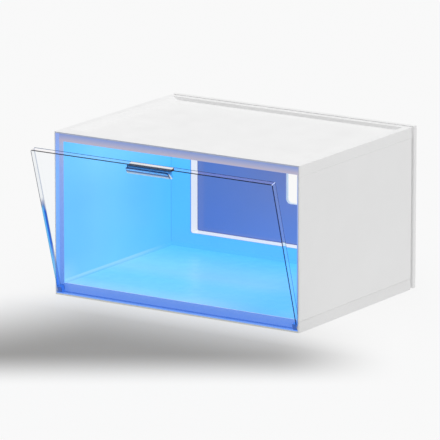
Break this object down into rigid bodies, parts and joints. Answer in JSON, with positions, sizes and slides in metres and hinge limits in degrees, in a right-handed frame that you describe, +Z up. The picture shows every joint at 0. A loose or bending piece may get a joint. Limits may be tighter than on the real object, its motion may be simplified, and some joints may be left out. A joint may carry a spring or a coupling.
{
  "type": "uv sterilizer cabinet",
  "caption": "White box cabinet with a blue-lit chamber, a rear window, a shallow tray in its top and a clear drop-down door with a hooked pull.",
  "frame": {"origin": "centre of the base, on the surface the cabinet stands on", "axes": "+X to the right seen from the front, +Y to the back, +Z up"},
  "size_m": [0.36, 0.3405, 0.208],
  "materials": {
    "shell_white": "satin moulded ABS",
    "liner_lit": "white liner lit blue by the lamps",
    "surround_white": "satin",
    "screen_blue": "dark blue sheet",
    "acrylic_clear": "polished clear acrylic",
    "acrylic_pull": "polished clear acrylic",
    "strip_steel": "satin plated",
    "hinge_block": "moulded, dark blue",
    "hinge_steel": "stamped",
    "washer_nylon": "nylon",
    "screw_steel": "zinc plated",
    "uv_lens": "clear window over the lamps",
    "uv_led": "lit",
    "circuit_white": "white solder mask",
    "circuit_green": "green solder mask",
    "component_black": "moulded",
    "cable_jacket": "jacketed lead",
    "switch_black": "moulded",
    "terminal_brass": "tinned",
    "inlet_black": "moulded",
    "nut_steel": "plated",
    "magnet_steel": "nickel plated",
    "pad_rubber": "grey silicone rubber"
  },
  "bodies": {
    "cabinet": {"back_liner": "liner_lit", "base_pads": "pad_rubber", "base_screws": "screw_steel", "board_screws": "screw_steel", "bottom_pan": "shell_white", "catch_magnets": "magnet_steel", "ceiling_liner": "liner_lit", "ceiling_screws": "screw_steel", "cover_screws": "screw_steel", "door_sensor": "component_black", "driver_board": "circuit_green", "driver_components": "component_black", "floor_liner": "liner_lit", "hinge_pin_left": "hinge_steel", "hinge_pin_right": "hinge_steel", "hinge_plate_left": "hinge_steel", "hinge_plate_right": "hinge_steel", "hinge_screws": "screw_steel", "hinge_washers": "washer_nylon", "inlet_nut": "nut_steel", "lamp_cable": "cable_jacket", "power_inlet": "inlet_black", "rear_cover": "shell_white", "rear_frame": "shell_white", "rear_screen": "screen_blue", "row_link_cable": "cable_jacket", "side_liner_left": "liner_lit", "side_liner_right": "liner_lit", "side_panel_left": "shell_white", "side_panel_right": "shell_white", "supply_cable": "cable_jacket", "switch_body": "switch_black", "switch_terminals": "terminal_brass", "top_cap": "shell_white", "uv_board_front": "circuit_white", "uv_board_rear": "circuit_white", "uv_leds_front": "uv_led", "uv_leds_rear": "uv_led", "uv_lens_front": "uv_lens", "uv_lens_rear": "uv_lens", "window_surround": "surround_white"},
    "door": {"door_panel": "acrylic_clear", "door_pull": "acrylic_pull", "strike_strip": "strip_steel", "pivot_block_left": "hinge_block", "pivot_block_right": "hinge_block"},
    "power_rocker": {"power_rocker": "switch_black"}
  },
  "joints": [
    {"name": "door_hinge", "type": "hinge", "parent": "cabinet", "child": "door", "pos_m": [0, -0.133, 0.006], "axis": [1, 0, 0], "range_deg": [-16.5, 68.5]},
    {"name": "rocker_pivot", "type": "hinge", "parent": "cabinet", "child": "power_rocker", "pos_m": [0.16, 0.1348, 0.06], "axis": [1, 0, 0], "range_deg": [-20, 0]}
  ]
}
